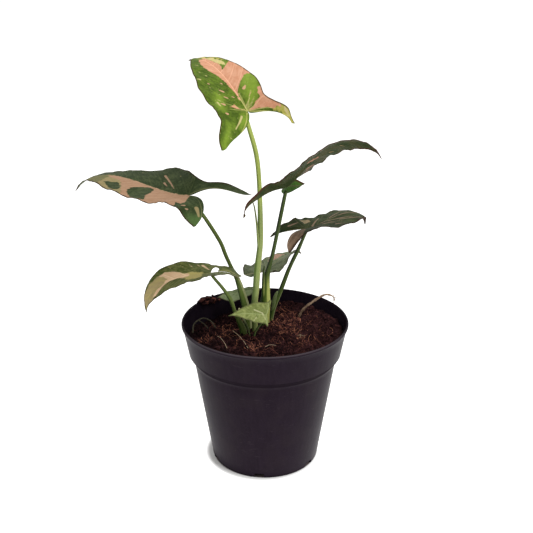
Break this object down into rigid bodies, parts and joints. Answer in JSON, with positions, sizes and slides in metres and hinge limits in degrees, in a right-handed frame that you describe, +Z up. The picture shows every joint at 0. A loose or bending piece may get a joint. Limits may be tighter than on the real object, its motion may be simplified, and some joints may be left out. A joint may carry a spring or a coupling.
{
  "type": "potted arrowhead plant",
  "caption": "Young arrowhead plant with pink, cream and green arrow-shaped leaves on slender arching stems, growing in coir soil in a round tapered black plastic nursery pot.",
  "frame": {"origin": "centre of the flat underside of the pot, on the surface that it stands on", "axes": "+Z up along the pot's axis, -Y towards the pictured front, +X to the right as seen from the front"},
  "size_m": [0.2116, 0.1314, 0.2874],
  "materials": {
    "pot_plastic": "thin moulded black plastic with a faint purple cast, matte with a soft sheen, light scuffs and dust",
    "soil": "dark reddish-brown coir crumbs and fibres, slightly moist",
    "leaf": "soft satin leaf, green with pink and cream patches, pale veins and a thin reddish margin",
    "stem": "smooth yellow-green to dark green stem, satin",
    "dry_stalk": "dry pale brown fibrous stalk"
  },
  "bodies": {
    "root": {"pot": "pot_plastic", "soil": "soil", "rim_crumbs": "soil", "top_leaf": "leaf", "left_leaf": "leaf", "right_leaf": "leaf", "middle_leaf": "leaf", "low_leaf": "leaf", "back_leaf": "leaf", "inner_leaf": "leaf", "young_leaf": "leaf", "top_stem": "stem", "left_stem": "stem", "right_stem": "stem", "middle_stem": "stem", "low_stem": "stem", "back_stem": "stem", "inner_stem": "stem", "young_stem": "stem", "bud_shoot": "stem", "dry_stalk": "dry_stalk"}
  },
  "joints": []
}
